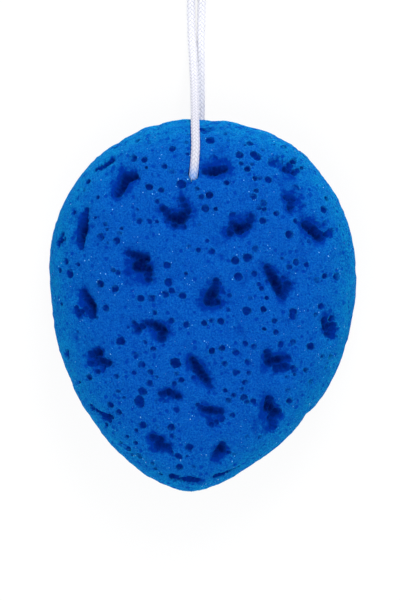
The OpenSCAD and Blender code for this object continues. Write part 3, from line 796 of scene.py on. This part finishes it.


# ---- the foam: its material ---------------------------------------------------

# The rim's paler blue is a painted sheen, where the skin turns away from the front and the back.
FRONT_BLUE, RIM_SHEEN_BLUE = srgb(0, 76, 172), srgb(0, 129, 181)
MOTTLE_BLUE = srgb(0, 66, 162)
CELL_BLUE, WALL_BLUE = srgb(0, 56, 156), srgb(30, 125, 205)    # in the fine cells and on their walls
# Painted shade: darker blues for the small pores, for the hollows and for the deep, where the foam lies below
# its skin.
PORE_SHADE_BLUE, HOLLOW_SHADE_BLUE, DEEP_SHADE_BLUE = srgb(0, 50, 154), srgb(0, 47, 146), srgb(0, 18, 90)
HOLLOW_DEPTHS, DEEP_DEPTHS = (0.2, 1.2), (1.6, 5.5)     # depths over which the last two come in
# Painted glints: a few bright points on the skin.
GLINT_BLUE = srgb(130, 205, 255)


def foam_finish():
    """Blue foam with painted shade: deeper blue the further a point lies below the skin, and darker round
    spots for small shallow pores. A paler painted sheen lies where the skin turns away at the rim, and a few
    painted bright glints on the skin. Fine cells and a mottle lie all over it."""
    f = new_finish("blue_foam")
    place, below, edge = f.place(), f.kept("depth"), f.kept("edge")

    def noise(scale, detail, low, high):
        made = f.add("TexNoise", {}, {"Vector": place, "Scale": scale, "Detail": detail, "Roughness": 0.65})
        return made.ramp(low, high)

    def spots(scale, size):
        """Round spots in some of the cells, 1 in their middle, each with its own size."""
        sockets = {"Vector": place, "Scale": scale}
        chance = f.add("SeparateColor", {}, {0: f.add("TexVoronoi", {}, sockets, out="Color")})
        return (f.add("TexVoronoi", {}, sockets) - chance * size).ramp(0.06, -0.08)

    grain = noise(1.5, 3.0, 0.3, 0.7)
    mottle = noise(0.28, 3.0, 0.35, 0.7)
    # round spots of small pores, painted darker as shade and sunk by the bump
    pores = spots(0.38, 0.36).math("MAXIMUM", spots(0.8, 0.34) * 0.6)
    painted_glints = spots(1.1, 0.3) * noise(0.22, 1.0, 0.5, 0.62) * noise(0.9, 0.0, 0.55, 0.65)

    # painted sheen, paler where the skin turns away at the rim
    colour = f.mix(edge.ramp(-0.1, 0.5), FRONT_BLUE, RIM_SHEEN_BLUE)
    colour = f.mix(mottle * 0.6, colour, MOTTLE_BLUE)
    colour = f.mix((1 - grain) * 0.75, colour, CELL_BLUE)
    colour = f.mix(grain * 0.3, colour, WALL_BLUE)
    # painted shade of the small pores
    colour = f.mix(pores * 0.75, colour, PORE_SHADE_BLUE)
    # painted shade in the hollows, varied by the mottle, and deeper below the skin
    colour = f.mix((below * (0.5 + mottle)).ramp(*HOLLOW_DEPTHS), colour, HOLLOW_SHADE_BLUE)
    colour = f.mix(below.ramp(*DEEP_DEPTHS), colour, DEEP_SHADE_BLUE)
    # painted glints, only on the skin
    colour = f.mix(painted_glints * 0.8 * below.ramp(0.6, 0.1), colour, GLINT_BLUE)
    height = grain - pores * 1.2
    normal = f.add("Bump", {}, {"Strength": 1.0, "Distance": 0.00015, "Height": height})
    return f.end(Base_Color=colour, Roughness=0.9, Specular_IOR_Level=0.01, Normal=normal,
                 Subsurface_Weight=0.6, Subsurface_Scale=0.0012, Subsurface_Radius=(0.3, 0.7, 1.0),
                 Sheen_Weight=0.1, Sheen_Roughness=0.5, Sheen_Tint=srgb(0, 170, 220))


foam = foam_piece()
foam.data.materials.clear()
foam.data.materials.append(foam_finish())
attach(foam, "root")
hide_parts("foam_body")

# ---- floor, backdrop and light ------------------------------------------------

FLOOR_HALF = 3000.0
FLOOR_Z = -0.1        # a little under the flat back, so that the two don't coincide
FLOOR_WHITE = 0.9     # share of the floor that is plain white where the camera sees it
SKY = 0.65            # strength of the light from all round
WHITE = srgb(255, 255, 255)


def floor_finish():
    """Pale and matt, and mostly plain white to the camera, so that it keeps a faint shadow."""
    f = new_finish("white_floor")
    lit = f.add("BsdfDiffuse", {}, {"Color": srgb(240, 240, 240)})
    white = f.add("Emission", {}, {"Color": WHITE, "Strength": 1.0})
    surface = f.add("MixShader", {}, {0: f.background() * FLOOR_WHITE, 1: lit, 2: white})
    f.add("OutputMaterial", {}, {"Surface": surface})
    return f.owner


corners = [(x * FLOOR_HALF, y * FLOOR_HALF, FLOOR_Z) for x, y in ((-1, -1), (1, -1), (1, 1), (-1, 1))]
floor = mesh_object("floor", corners, [(0, 1, 2, 3)], floor_finish(), smooth=False)

bpy.context.scene.world = bpy.data.worlds.new("world")
sky = Finish(bpy.context.scene.world)
lighting = sky.add("Background", {}, {"Color": srgb(249, 251, 255), "Strength": SKY})
shown = sky.add("Background", {}, {"Color": WHITE, "Strength": 1.0})
either = sky.add("MixShader", {}, {0: sky.background(), 1: lighting, 2: shown})
sky.add("OutputWorld", {}, {"Surface": either})


def softbox(name, at, towards, size, power):
    """A square lamp at a place in metres, turned towards another."""
    lamp = bpy.data.lights.new(name, "AREA")
    lamp.size, lamp.energy = size, power
    made = bpy.data.objects.new(name, lamp)
    bpy.context.scene.collection.objects.link(made)
    made.location = at
    made.rotation_euler = (Vector(towards) - Vector(at)).to_track_quat("-Z", "Y").to_euler()


softbox("key", at=(0.2, 0.85, 0.9), towards=(0, 0, 0.03), size=0.5, power=8)
softbox("low", at=(0.15, 1.1, 0.3), towards=(0, 0.07, 0.0), size=0.4, power=3)
softbox("fill", at=(-0.1, -0.6, 1.1), towards=(0, 0, 0.02), size=0.8, power=7.5)

bpy.context.scene.view_settings.view_transform = "Standard"
